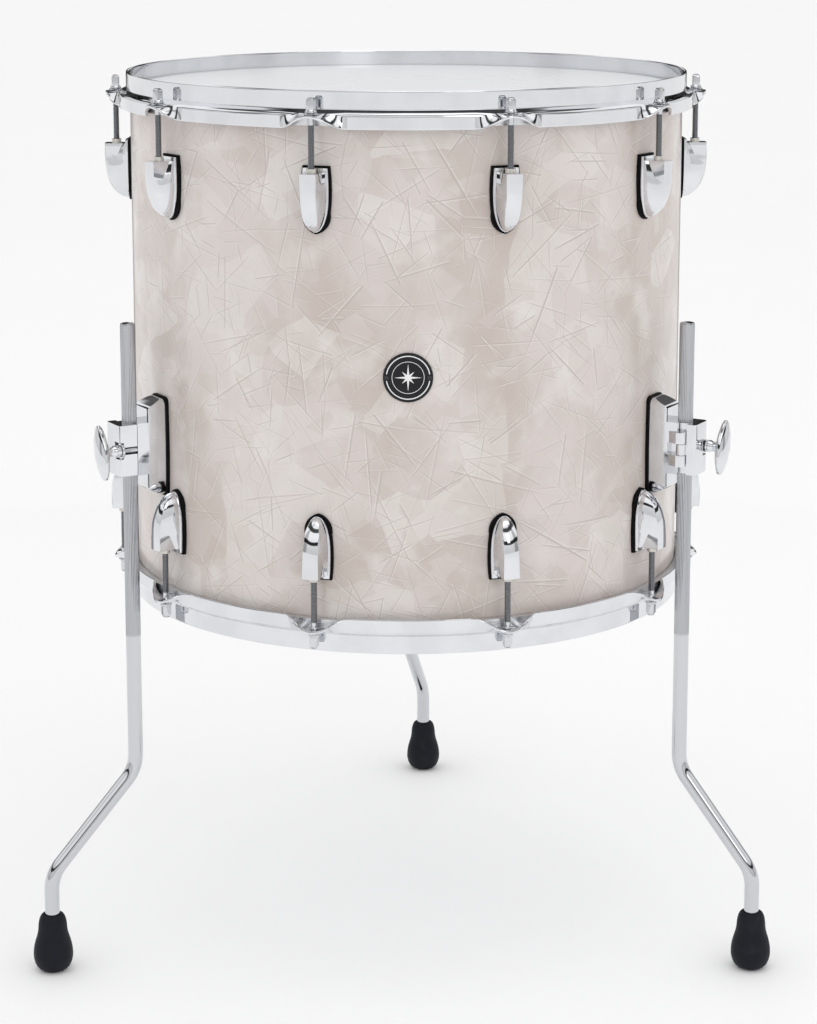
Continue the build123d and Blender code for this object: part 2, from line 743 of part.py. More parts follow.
rod = tension_rod()
for number, angle in enumerate(ROD_ANGLES, start=1):
    top_rod = placed(rod, angle)
    save(f"top_tension_rod_{number}", top_rod)
    save(f"bottom_tension_rod_{number}", upside_down(top_rod))

bracket_screws = []
bracket_washers = []
for height in BRACKET_SCREW_Z:
    screw = inside_screw(
        BRACKET_SCREW_RADIUS, 5.5, 3.6, 1.5, BRACKET_SCREW_TIP, height
    )
    washer = inside_washer(BRACKET_SCREW_RADIUS, 9.0, 1.5, height)
    bracket_screws += all_round(screw, BRACKET_ANGLES.values())
    bracket_washers += all_round(washer, BRACKET_ANGLES.values())
save("bracket_screws", *bracket_screws)
save("bracket_screw_washers", *bracket_washers)
save("bracket_gaskets", *all_round(bracket_gasket(), BRACKET_ANGLES.values()))
save("hinge_pins", *all_round(hinge_pin(), BRACKET_ANGLES.values()))

bracket_body = bracket()
gate_body = gate()
washer_body = clamp_washer()
for side, angle in BRACKET_ANGLES.items():
    save(f"{side}_bracket", placed(bracket_body, angle))
    save(f"{side}_gate", placed(gate_body, angle))
    save(f"{side}_clamp_washer", placed(washer_body, angle))
    save(f"{side}_t_screw", placed(t_screw(KNOB_LEAN[side]), angle))
    save(f"{side}_leg", leg_place(leg(LEG_REACH[side]), side))
    save(f"{side}_foot", leg_place(foot(LEG_REACH[side]), side))
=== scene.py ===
import math

import bmesh
import bpy
from mathutils import Matrix, Vector


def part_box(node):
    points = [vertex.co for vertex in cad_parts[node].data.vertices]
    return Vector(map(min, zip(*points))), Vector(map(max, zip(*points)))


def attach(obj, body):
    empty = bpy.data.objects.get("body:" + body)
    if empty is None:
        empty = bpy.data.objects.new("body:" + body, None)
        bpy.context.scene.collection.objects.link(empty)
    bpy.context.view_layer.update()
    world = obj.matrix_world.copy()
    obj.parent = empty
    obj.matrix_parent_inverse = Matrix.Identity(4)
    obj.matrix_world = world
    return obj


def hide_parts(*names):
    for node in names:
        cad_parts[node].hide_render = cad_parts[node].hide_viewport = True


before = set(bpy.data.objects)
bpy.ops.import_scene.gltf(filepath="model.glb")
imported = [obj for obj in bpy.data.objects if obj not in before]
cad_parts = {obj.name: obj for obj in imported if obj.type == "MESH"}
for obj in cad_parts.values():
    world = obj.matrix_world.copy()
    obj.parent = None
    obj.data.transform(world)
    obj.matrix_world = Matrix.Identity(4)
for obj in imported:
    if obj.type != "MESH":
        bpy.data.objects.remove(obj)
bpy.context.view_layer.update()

# ---- Camera and studio ---------------------------------------------------------------
# A camera just above the batter head's height, looking slightly down, in a white studio.
# A pale floor carries the three feet, white walls light the drum, and dark flags edge the chrome.

CAMERA_PLACE = (0, -2.156, 0.876)
CAMERA_DIP = 10.03
LOOK_AT = Vector((0, 0, 0.45))

camera_data = bpy.data.cameras.new("camera")
camera_data.lens = 91.35
camera_data.shift_x = 0.0022
camera_data.shift_y = -0.172
camera = bpy.data.objects.new("camera", camera_data)
camera.location = CAMERA_PLACE
camera.rotation_euler = (math.radians(90 - CAMERA_DIP), 0, 0)
bpy.context.collection.objects.link(camera)
bpy.context.scene.camera = camera
bpy.context.scene.view_settings.view_transform = "Standard"


class Value:
    """A shader socket that takes arithmetic, each sum adding its own Math node."""

    def __init__(self, nodes, socket):
        self.nodes = nodes
        self.socket = socket

    def math(self, operation, *others):
        return self.nodes.node("Math", {"operation": operation}, [self, *others])

    def __add__(self, other):
        return self.math("ADD", other)

    __radd__ = __add__

    def __mul__(self, other):
        return self.math("MULTIPLY", other)

    __rmul__ = __mul__

    def __sub__(self, other):
        return self.math("SUBTRACT", other)

    def __rsub__(self, other):
        return self.nodes.node("Math", {"operation": "SUBTRACT"}, [other, self])

    def __truediv__(self, other):
        return self.math("DIVIDE", other)

    def __neg__(self):
        return self.math("MULTIPLY", -1.0)

    def __abs__(self):
        return self.math("ABSOLUTE")


class Nodes:
    """A node tree that is written as sums and calls."""

    def __init__(self, tree):
        self.tree = tree

    def put(self, socket, value):
        """Feed a number, a colour or a link into a socket."""
        if isinstance(value, Value):
            self.tree.links.new(value.socket, socket)
        elif socket.type == "RGBA":
            socket.default_value = (*value, 1)
        else:
            socket.default_value = value

    def node(self, kind, settings, inputs, output=0):
        """Add a node of a kind, with its settings, then its inputs, by name or in order."""
        made = self.tree.nodes.new("ShaderNode" + kind)
        for setting, value in settings.items():
            setattr(made, setting, value)
        named = inputs.items() if isinstance(inputs, dict) else enumerate(inputs)
        for key, value in named:
            self.put(made.inputs[key], value)
        return Value(self, made.outputs[output])

    def parts(self, vector):
        """The three numbers in a vector."""
        first = self.node("SeparateXYZ", {}, [vector])
        return [Value(self, socket) for socket in first.socket.node.outputs]

    def rise(self, value, low, high, start=0.0, end=1.0):
        """Carry a value from one span to another, with smooth ends."""
        return self.node(
            "MapRange", {"interpolation_type": "SMOOTHSTEP"}, [value, low, high, start, end]
        )

    def stripe(self, value, middle, half, soft):
        """1 within half of the middle, falling to 0 over a soft edge."""
        return self.rise(abs(value - middle), half, half + soft, 1.0, 0.0)

    def mix(self, share, first, second):
        """A colour between two colours."""
        made = self.tree.nodes.new("ShaderNodeMix")
        made.data_type = "RGBA"
        self.put(made.inputs[0], share)
        self.put(made.inputs[6], first)
        self.put(made.inputs[7], second)
        return Value(self, made.outputs[2])


world = bpy.data.worlds.new("studio")
world.use_nodes = True
bpy.context.scene.world = world
air = Nodes(world.node_tree)
sky_x, sky_y, sky_z = air.parts(air.node("TexCoord", {}, [], "Generated"))
round_room = abs(sky_x.math("ARCTAN2", -sky_y))
walls = air.rise(sky_z, 0.0, 0.6, 0.72, 1.10)
low_flag = air.stripe(sky_z, 0.32, 0.05, 0.03)
ceiling_gap = air.stripe(sky_z, 0.80, 0.05, 0.04)
back_flags = air.stripe(round_room, math.radians(160), math.radians(6), math.radians(4))
side_flags = air.stripe(round_room, math.radians(66), math.radians(4), math.radians(6))
open_walls = (1 - 0.97 * low_flag) * (1 - 0.93 * ceiling_gap)
glints = walls * open_walls * (1 - 0.9 * back_flags) * (1 - 0.5 * side_flags)
seen_in_gloss = air.node("LightPath", {}, [], "Is Glossy Ray")
level = 1.0 + seen_in_gloss * (glints - 1.0)
level_colour = air.node("CombineColor", {}, [level, level, level])
air.put(world.node_tree.nodes["Background"].inputs["Color"], level_colour)


def softbox(name, place, size, watts):
    """A rectangular studio light that faces the drum's middle."""
    data = bpy.data.lights.new(name, "AREA")
    data.shape = "RECTANGLE"
    data.size, data.size_y = size
    data.energy = watts
    light = bpy.data.objects.new(name, data)
    light.location = place
    aim = LOOK_AT - Vector(place)
    light.rotation_euler = aim.to_track_quat("-Z", "Y").to_euler()
    bpy.context.collection.objects.link(light)


class Finish(Nodes):
    """A material: constants go on its shader, and what varies is worked out with nodes."""

    def __init__(self, name, colour, roughness, constants=()):
        self.material = bpy.data.materials.new(name)
        self.material.use_nodes = True
        super().__init__(self.material.node_tree)
        self.shader = self.tree.nodes["Principled BSDF"]
        self.feed("Base Color", colour)
        self.feed("Roughness", roughness)
        for socket, value in dict(constants).items():
            self.feed(socket, value)
        self.place = self.node("TexCoord", {}, [], "Object")

    def feed(self, socket, value):
        """Set one of the shader's sockets, or let a varying value drive it."""
        self.put(self.shader.inputs[socket], value)

    def noise(self, scale, detail=3.0, place=None, output=0):
        """Noise over the piece, about 0.5 on average, at a scale per metre."""
        inputs = {"Vector": place or self.place, "Scale": scale, "Detail": detail}
        return self.node("TexNoise", {}, inputs, output)

    def bump(self, height, strength, depth):
        """Raise the surface by a height value, over a depth in metres."""
        inputs = {"Strength": strength, "Distance": depth, "Height": height}
        self.feed("Normal", self.node("Bump", {}, inputs))


def new_object(name, bm, material, sharp=35):
    """Turn a bmesh into a smooth-shaded object."""
    mesh = bpy.data.meshes.new(name)
    bm.to_mesh(mesh)
    bm.free()
    mesh.materials.append(material)
    mesh.shade_smooth()
    mesh.set_sharp_from_angle(angle=math.radians(sharp))
    made = bpy.data.objects.new(name, mesh)
    bpy.context.collection.objects.link(made)
    return made


def card(angle, distance, width, height, grey):
    """A grey card that only shows as a reflection, standing at an angle from the front."""
    bm = bmesh.new()
    bmesh.ops.create_grid(bm, x_segments=1, y_segments=1, size=0.5)
    bmesh.ops.scale(bm, vec=Vector((width, height, 1)), verts=bm.verts)
    bmesh.ops.rotate(bm, matrix=Matrix.Rotation(math.radians(90), 3, "X"), verts=bm.verts)
    bmesh.ops.translate(bm, vec=Vector((0, -distance, height / 2)), verts=bm.verts)
    bmesh.ops.rotate(bm, matrix=Matrix.Rotation(math.radians(angle), 3, "Z"), verts=bm.verts)
    finish = Finish(f"card_{angle}", (grey, grey, grey), 1.0)
    made = new_object(f"card_{angle}", bm, finish.material)
    made.visible_camera = False
    made.visible_diffuse = False
    made.visible_shadow = False


softbox("key_box", (1.1, -2.6, 1.9), (0.8, 1.2), 4)
softbox("top_box", (0.3, -0.4, 2.9), (1.6, 1.2), 4)
for side in (-1, 1):
    card(160 * side, 1.5, 0.28, 1.6, 0.02)

FLOOR_HALF = 25
FLOOR_DULL = (0.965, 0.965, 0.965)
FLOOR_CLEAN = (0.985, 0.985, 0.985)

floor_bm = bmesh.new()
bmesh.ops.create_grid(floor_bm, x_segments=8, y_segments=8, size=FLOOR_HALF)
floor_finish = Finish("studio_floor", FLOOR_CLEAN, 0.7)
floor_tone = floor_finish.noise(1.5)
floor_finish.feed("Base Color", floor_finish.mix(floor_tone, FLOOR_DULL, FLOOR_CLEAN))
new_object("floor", floor_bm, floor_finish.material)

# ---- Shell ---------------------------------------------------------------------------
# Maple ply cylinder, its plies glued round a mould, with a bearing edge turned at each end.
# It shows at the air hole and inside, sealed with a clear satin lacquer.


def repaint(node, material):
    """Give a CAD node its material."""
    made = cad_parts[node]
    if not made.material_slots:
        made.data.materials.append(material)
    for slot in made.material_slots:
        slot.material = material


ply = Finish("lacquered_ply", (0.55, 0.38, 0.22), 0.35, {"Coat Weight": 0.3})
ply_grain_place = ply.node("Mapping", {}, {"Vector": ply.place, "Scale": (6, 6, 160)})
ply_grain = ply.noise(5, 6, ply_grain_place)
ply.feed("Base Color", ply.mix(ply_grain, (0.62, 0.44, 0.26), (0.40, 0.25, 0.13)))
ply.feed("Roughness", ply.rise(ply_grain, 0.3, 0.7, 0.3, 0.45))
ply.bump(ply_grain, 0.2, 0.0002)
repaint("shell", ply.material)

# ---- Pearl wrap ----------------------------------------------------------------------
# Cellulose pearl sheet glued round the shell: cloudy flakes of white, rose and beige, crossed
# by thin straight shards that catch or lose the light, under a polished clear face.

WRAP_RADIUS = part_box("wrap")[1][0]

pearl_coat = {"Coat Weight": 0.45, "Coat Roughness": 0.08}
pearl = Finish("white_pearl", (0.63, 0.58, 0.56), 0.34, pearl_coat)
wrap_x, wrap_y, wrap_z = pearl.parts(pearl.place)
wrap_along = wrap_x.math("ARCTAN2", -wrap_y) * WRAP_RADIUS
wrap_sheet = pearl.node("CombineXYZ", {}, [wrap_along, wrap_z, 0.0])


def wavered(amount, scale):
    """The sheet's own place, pushed about a little so that flakes have crooked edges."""
    push = pearl.noise(scale, 2, wrap_sheet, "Color")
    centred = pearl.node("VectorMath", {"operation": "SUBTRACT"}, [push, (0.5, 0.5, 0.5)])
    inputs = [centred, (amount, amount, 0), wrap_sheet]
    return pearl.node("VectorMath", {"operation": "MULTIPLY_ADD"}, inputs)


def flakes(scale, place):
    """A different number from 0 to 1 on each flake."""
    inputs = {"Vector": place, "Scale": scale}
    cells = pearl.node("TexVoronoi", {"voronoi_dimensions": "2D"}, inputs, "Color")
    return pearl.parts(cells)[0]


def shards(scale, shift, width, reach):
    """Straight slivers, one to a flake, each with a dark edge and a light edge."""
    shifted = pearl.node(
        "VectorMath", {"operation": "ADD"}, [wrap_sheet, (shift, shift * 0.7, 0)]
    )
    inputs = {"Vector": shifted, "Scale": scale}
    cell = pearl.node("TexVoronoi", {"voronoi_dimensions": "2D"}, inputs, "Position")
    tint = Value(pearl, cell.socket.node.outputs["Color"])
    turn, thick, tone = pearl.parts(tint)
    offset = pearl.node("VectorMath", {"operation": "SUBTRACT"}, [shifted, cell])
    across_x, across_y, _ = pearl.parts(offset)
    turn = turn * 6.3
    lean_x = turn.math("COSINE")
    lean_y = turn.math("SINE")
    across = across_x * lean_y - across_y * lean_x
    along = abs(across_x * lean_x + across_y * lean_y)
    half = width * (0.35 + thick) * pearl.rise(along, 0.2 * reach, reach, 1.0, 0.1)
    ends = pearl.rise(along, 0.93 * reach, reach, 1.0, 0.0)
    dark = pearl.rise(abs(across) / half, 0.6, 1.6, 1.0, 0.0) * ends
    light = pearl.rise(abs(across - width * 1.9) / half, 0.5, 1.7, 1.0, 0.0) * ends
    strong = pearl.rise(tone, 0.15, 0.85, 0.15, 1.0)
    return dark * strong, light * strong * 0.7


crooked = wavered(0.014, 22)
cloud_place = pearl.node("Mapping", {}, {"Vector": crooked, "Scale": (1.3, 0.75, 1)})
cloud = pearl.noise(8, 5, cloud_place)
veil = pearl.noise(26, 4, crooked)
broad = flakes(26, crooked)
small = flakes(58, wavered(0.006, 50))
rose = (0.640, 0.578, 0.556)
beige = (0.535, 0.462, 0.420)
milk = (0.735, 0.715, 0.680)
blush = (0.660, 0.588, 0.575)
bright_edge = (0.80, 0.775, 0.745)
dark_edge = (0.455, 0.392, 0.365)
sheet_colour = pearl.mix(pearl.rise(cloud, 0.38, 0.60), beige, rose)
sheet_colour = pearl.mix(pearl.rise(broad, 0.45, 1.0, 0.0, 0.50), sheet_colour, milk)
sheet_colour = pearl.mix(pearl.rise(veil, 0.5, 0.72, 0.0, 0.55), sheet_colour, milk)
sheet_colour = pearl.mix(pearl.rise(small, 0.6, 1.0, 0.0, 0.45), sheet_colour, blush)
sheet_colour = pearl.mix(pearl.rise(small, 0.0, 0.3, 0.30, 0.0), sheet_colour, beige)
dark_marks = 0.0
light_marks = 0.0
for scale, shift, width, reach in (
    (15, 3.1, 0.00055, 0.055),
    (19, 7.7, 0.00050, 0.046),
    (24, 1.3, 0.00045, 0.038),
    (30, 5.9, 0.00042, 0.030),
    (40, 9.2, 0.00040, 0.022),
    (56, 4.4, 0.00035, 0.015),
    (21, 12.6, 0.00052, 0.042),
    (34, 15.1, 0.00042, 0.027),
):
    dark, light = shards(scale, shift, width, reach)
    dark_marks = dark + dark_marks
    light_marks = light + light_marks
lit = light_marks.math("MINIMUM", 1.0) * 0.55
sheet_colour = pearl.mix(lit, sheet_colour, bright_edge)
unlit = dark_marks.math("MINIMUM", 1.0) * 0.70
sheet_colour = pearl.mix(unlit, sheet_colour, dark_edge)
pearl.feed("Base Color", sheet_colour)
pearl.feed("Roughness", pearl.rise(broad, 0.0, 1.0, 0.42, 0.28))
pearl.bump(dark_marks, 0.02, 0.0002)
repaint("wrap", pearl.material)

# ---- Heads ---------------------------------------------------------------------------
# One ply of milky polyester film a head, moulded with a collar that folds over the bearing
# edge into an aluminium flesh hoop. The batter head has a fine sprayed coating for brushes.


def film(name, colour, coating):
    """Film with faint clouds, and the sprayed coating's fine grain."""
    finish = Finish(name, colour, 0.3)
    cloud = finish.noise(6, 3)
    paler = tuple(min(1, part * 1.05) for part in colour)
    duller = tuple(part * 0.96 for part in colour)
    finish.feed("Base Color", finish.mix(cloud, duller, paler))
    grain = finish.noise(2200, 2)
    finish.feed("Roughness", finish.rise(cloud, 0.3, 0.7, 0.26, 0.36))
    finish.bump(grain, coating, 0.00004)
    return finish.material


def spun(outline, steps):
    """A shape turned about the drum's axis from (radius, height) points in millimetres."""
    bm = bmesh.new()
    corners = [bm.verts.new((0, -r, z)) for r, z in outline]
    edges = [bm.edges.new(pair) for pair in zip(corners, corners[1:])]
    bmesh.ops.spin(
        bm,
        geom=corners + edges,
        cent=(0, 0, 0),
        axis=(0, 0, 1),
        angle=math.tau,
        steps=steps,
        use_merge=True,
    )
    bmesh.ops.remove_doubles(bm, verts=bm.verts, dist=0.0005)
    bmesh.ops.recalc_face_normals(bm, faces=bm.faces)
    return bm


MM = 0.001


def piece(name, bm, body, material, replaced=(), sharp=35):
    """A finished piece from a bmesh drawn in millimetres, riding on its body."""
    bmesh.ops.scale(bm, vec=Vector((MM, MM, MM)), verts=bm.verts)
    made = new_object(name, bm, material, sharp)
    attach(made, body)
    if replaced:
        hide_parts(*replaced)
    return made


FILM = 0.35
FILM_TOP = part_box("batter_head")[1][2] / MM
FILM_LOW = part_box("resonant_head")[0][2] / MM
COLLAR_DEEP = 5.3
BEARING_EDGE = 225.4
COLLAR_SIDE = 228.4


def stretched_film():
    """A head's film: flat, rounded over the bearing edge, and down its collar."""
    top = [(BEARING_EDGE * share, FILM_TOP) for share in (0, 0.2, 0.4, 0.6, 0.8, 0.95, 0.995)]
    shoulder = [(BEARING_EDGE + 0.9, FILM_TOP - 0.5), (COLLAR_SIDE - 0.4, FILM_TOP - 1.9)]
    over = top + shoulder + [(COLLAR_SIDE, FILM_TOP - 2.9), (COLLAR_SIDE, FILM_TOP - COLLAR_DEEP)]
    under = [(max(r - FILM, 0), z - FILM) for r, z in top + shoulder]
    under += [(COLLAR_SIDE - FILM, FILM_TOP - 3.0), (COLLAR_SIDE - FILM, FILM_TOP - COLLAR_DEEP)]
    return spun(over + under[::-1], 240)


batter_film = film("batter_film", (0.80, 0.81, 0.83), 0.25)
resonant_film = film("resonant_film", (0.74, 0.75, 0.77), 0.05)
piece("batter_skin", stretched_film(), "root", batter_film, ["batter_head"])
flipped = stretched_film()
bmesh.ops.scale(flipped, vec=Vector((1, 1, -1)), verts=flipped.verts)
bmesh.ops.translate(flipped, vec=Vector((0, 0, FILM_TOP + FILM_LOW)), verts=flipped.verts)
bmesh.ops.reverse_faces(flipped, faces=flipped.faces)
piece("resonant_skin", flipped, "root", resonant_film, ["resonant_head"])

flesh = Finish("flesh_hoop_aluminium", (0.76, 0.77, 0.79), 0.32, {"Metallic": 1.0})
flesh_place = flesh.node("Mapping", {}, {"Vector": flesh.place, "Scale": (8, 8, 900)})
flesh_lines = flesh.noise(3, 4, flesh_place)
flesh.feed("Roughness", flesh.rise(flesh_lines, 0.3, 0.7, 0.24, 0.4))
flesh.bump(flesh_lines, 0.15, 0.00005)
repaint("batter_flesh_hoop", flesh.material)
repaint("resonant_flesh_hoop", flesh.material)

# ---- Hoops ---------------------------------------------------------------------------
# Steel strip rolled and welded into a ring, pressed with a flange and a turned-down lip. The
# lip is flared out flat at each tension rod to make a pierced tab. Bright chrome over nickel.

RIM_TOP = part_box("top_hoop")[1][2] / MM
RIM_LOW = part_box("bottom_hoop")[0][2] / MM
MIDDLE_Z = (RIM_TOP + RIM_LOW) / 2
HOOP_GAUGE = 2.2
HOOP_MID = 229.8
BAND_DEEP = 13.75
LIP_RADIUS = 236.0
TAB_HALF = 28.0
TAB_DEEP = 18.5
ROD_HOLE = 3.2
ROD_CIRCLE = 240.4
ROD_COUNT = 10
ROD_TURN = math.radians(0.88)
ROD_STEP = math.tau / ROD_COUNT
ROD_ANGLES = [ROD_TURN + ROD_STEP * (k + 0.5) for k in range(ROD_COUNT)]


def chrome(name, tint=(0.76, 0.77, 0.795), low=0.03, high=0.09, ripple=0.02):
    """Bright plating: polishing haze, faint smudges and the metal's own slight ripple."""
    finish = Finish(name, tint, 0.07, {"Metallic": 1.0})
    haze = finish.noise(35, 4)
    smudge = finish.noise(160, 2)
    duller = tuple(part * 0.93 for part in tint)
    finish.feed("Base Color", finish.mix(finish.rise(haze, 0.4, 0.7), tint, duller))
    finish.feed("Roughness", finish.rise(haze * 0.7 + smudge * 0.3, 0.35, 0.65, low, high))
    finish.bump(finish.noise(90, 2), ripple, 0.0006)
    return finish.material


def copies(bm, matrices):
    """A bmesh with one copy of another at each matrix."""
    patch = bpy.data.meshes.new("patch")
    bm.to_mesh(patch)
    bm.free()
    group = bmesh.new()
    for matrix in matrices:
        moved = patch.copy()
        moved.transform(matrix)
        if matrix.determinant() < 0:
            moved.flip_normals()
        group.from_mesh(moved)
        bpy.data.meshes.remove(moved)
    bpy.data.meshes.remove(patch)
    return group


def joined(*parts):
    """One bmesh that holds several."""
    whole = bmesh.new()
    for part in parts:
        patch = bpy.data.meshes.new("patch")
        part.to_mesh(patch)
        part.free()
        whole.from_mesh(patch)
        bpy.data.meshes.remove(patch)
    return whole


def settled(made):
    """Apply a piece's modifiers to its mesh."""
    graph = bpy.context.evaluated_depsgraph_get()
    mesh = bpy.data.meshes.new_from_object(made.evaluated_get(graph))
    made.modifiers.clear()
    made.data = mesh


def cut(made, cutter_bm):
    """Cut a shape, drawn in millimetres, out of a piece."""
    bmesh.ops.scale(cutter_bm, vec=Vector((MM, MM, MM)), verts=cutter_bm.verts)
    tool = new_object("cutter", cutter_bm, made.data.materials[0])
    boolean = made.modifiers.new("cut", "BOOLEAN")
    boolean.operation = "DIFFERENCE"
    boolean.solver = "EXACT"
    boolean.object = tool
    settled(made)
    bpy.data.objects.remove(tool)


def round_shell(angles, upside_down=False):
    """The turn to each angle round the shell, and to its other end if asked."""
    flip = Matrix.Translation((0, 0, 2 * MIDDLE_Z)) @ Matrix.Scale(-1, 4, (0, 0, 1))
    start = flip if upside_down else Matrix.Identity(4)
    return [Matrix.Rotation(angle, 4, "Z") @ start for angle in angles]


def hoop_section(flare):
    """The strip's closed (radius, height) section, its lip turned down, or flat at a tab."""
    r = HOOP_MID
    z = RIM_TOP - BAND_DEEP
    heading = -90.0
    middle = [(r, height, heading) for height in (RIM_TOP - 0.9, RIM_TOP - 1.3, z + 0.4, z)]
    flange_bend = (1.6, -25.0, 5, 3.9 + 2.6 * flare)
    lip_bend = (2.6 + 0.4 * flare, -90 + 88 * flare, 9, 8.8 + 1.5 * flare)
    for radius, turn_to, bend_steps, straight in (flange_bend, lip_bend):
        turn = (turn_to - heading) / bend_steps
        for _ in range(bend_steps):
            stride = radius * abs(math.radians(turn))
            heading += turn / 2
            r += stride * math.cos(math.radians(heading))
            z += stride * math.sin(math.radians(heading))
            heading += turn / 2
            middle.append((r, z, heading))
        for share in (0.05, 0.5, 0.95, 1.0):
            stride = straight * share
            across = math.radians(heading)
            middle.append((r + stride * math.cos(across), z + stride * math.sin(across), heading))
        r, z, heading = middle[-1]
    half = HOOP_GAUGE / 2

    def beside(point, side, ahead=0.0):
        r, z, heading = point
        across = math.radians(heading + 90)
        along = math.radians(heading)
        return (
            r + side * math.cos(across) + ahead * math.cos(along),
            z + side * math.sin(across) + ahead * math.sin(along),
        )

    outer = [beside(point, half) for point in middle]
    inner = [beside(point, -half) for point in middle]
    lip_edge = ((0.9, 0.45), (0.4, 0.65), (-0.4, 0.65), (-0.9, 0.45))
    rim_edge = ((-0.95, 0.5), (-0.5, 0.9), (0.5, 0.9), (0.95, 0.5))
    low_end = [beside(middle[-1], side, ahead) for side, ahead in lip_edge]
    top_end = [beside(middle[0], side, -ahead) for side, ahead in rim_edge]
    return outer + low_end + inner[::-1] + top_end


def spun_ring(section, steps):
    """A closed section turned all round the drum's axis."""
    bm = bmesh.new()
    corners = [bm.verts.new((0, -r, z)) for r, z in section]
    edges = [bm.edges.new(pair) for pair in zip(corners, corners[1:] + corners[:1])]
    bmesh.ops.spin(
        bm,
        geom=corners + edges,
        cent=(0, 0, 0),
        axis=(0, 0, 1),
        angle=math.tau,
        steps=steps,
        use_merge=True,
    )
    bmesh.ops.remove_doubles(bm, verts=bm.verts, dist=0.001)
    return bm


def hoop(name, node, upside_down):
    """One whole hoop: the plain section spun, flared at its tabs and pierced for its rods."""
    plain = hoop_section(0.0)
    bm = spun_ring(plain, 720)
    sections = {}
    for vert in bm.verts:
        radius = math.hypot(vert.co.x, vert.co.y)
        angle = math.atan2(vert.co.x, -vert.co.y)
        turn = (angle - ROD_ANGLES[0] + ROD_STEP / 2) % ROD_STEP - ROD_STEP / 2
        away = min(abs(turn) * LIP_RADIUS / TAB_HALF, 1.0)
        flare = round((1 - away**2.1) ** 2, 4)
        if flare not in sections:
            sections[flare] = hoop_section(flare)
        nearest = min(
            range(len(plain)),
            key=lambda k: (plain[k][0] - radius) ** 2 + (plain[k][1] - vert.co.z) ** 2,
        )
        r, z = sections[flare][nearest]
        vert.co.x *= r / radius
        vert.co.y *= r / radius
        vert.co.z = z
    bm = copies(bm, round_shell([0], upside_down))
    bmesh.ops.recalc_face_normals(bm, faces=bm.faces)
    ring = piece(name, bm, "root", hoop_chrome, [node], 40)
    drill = bmesh.new()
    bmesh.ops.create_cone(
        drill,
        cap_ends=True,
        segments=32,
        radius1=ROD_HOLE,
        radius2=ROD_HOLE,
        depth=9,
        matrix=Matrix.Translation((0, -ROD_CIRCLE, RIM_TOP - TAB_DEEP)),
    )
    cut(ring, copies(drill, round_shell(ROD_ANGLES, upside_down)))
    ring.data.set_sharp_from_angle(angle=math.radians(40))


hoop_chrome = chrome("hoop_chrome")
hoop("batter_hoop", "top_hoop", False)
hoop("resonant_hoop", "bottom_hoop", True)

# ---- Tension rods --------------------------------------------------------------------
# Cold-headed steel rods with a square key head, a round collar and a rolled thread that runs
# up to a short plain neck. Chromed, and seated on a chromed washer on the hoop's tab.

ROD_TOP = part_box("top_tension_rod_1")[1][2] / MM
ROD_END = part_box("top_tension_rod_1")[0][2] / MM
COLLAR_TOP = ROD_TOP - 8.8
COLLAR_LOW = COLLAR_TOP - 2.4
NECK_LONG = 9.0
THREAD_PITCH = 1.06
KEY_SIDE = 6.1
KEY_EASE = 0.8
KEY_CROWN = 2.6


def key_head():
    """A rod's square key, its top crowned and its corners eased."""
    key = bmesh.new()
    bmesh.ops.create_cube(key, size=1)
    height = ROD_TOP - COLLAR_TOP + 0.6
    bmesh.ops.scale(key, vec=Vector((KEY_SIDE, KEY_SIDE, height)), verts=key.verts)
    bmesh.ops.translate(key, vec=Vector((0, 0, ROD_TOP - height / 2)), verts=key.verts)
    uprights = [e for e in key.edges if abs(e.verts[0].co.z - e.verts[1].co.z) > 1]
    bmesh.ops.bevel(
        key, geom=uprights, offset=KEY_EASE, segments=3, profile=0.5, affect="EDGES", material=-1
    )
    crown = [e for e in key.edges if min(v.co.z for v in e.verts) > ROD_TOP - 0.1]
    bmesh.ops.bevel(
        key, geom=crown, offset=KEY_CROWN, segments=6, profile=0.5, affect="EDGES", material=-1
    )
    return key


def rod_shape():
    """One tension rod, standing on the drum's axis."""
    outline = [(0.0, ROD_END), (1.9, ROD_END), (2.2, ROD_END + 0.6)]
    turns = int((COLLAR_LOW - NECK_LONG - ROD_END - 1) / THREAD_PITCH)
    for turn in range(turns):
        crest = ROD_END + 1 + THREAD_PITCH * turn
        outline += [(2.5, crest), (2.5, crest + 0.2), (2.08, crest + 0.55), (2.08, crest + 0.75)]
    neck = ROD_END + 1 + THREAD_PITCH * turns
    outline += [(2.4, neck), (2.4, COLLAR_LOW), (4.2, COLLAR_LOW), (4.6, COLLAR_LOW + 0.4)]
    outline += [(4.6, COLLAR_LOW + 0.9), (4.3, COLLAR_LOW + 1.4), (3.9, COLLAR_TOP - 0.5)]
    outline += [(3.3, COLLAR_TOP), (0.0, COLLAR_TOP)]
    return joined(spun(outline, 24), key_head())


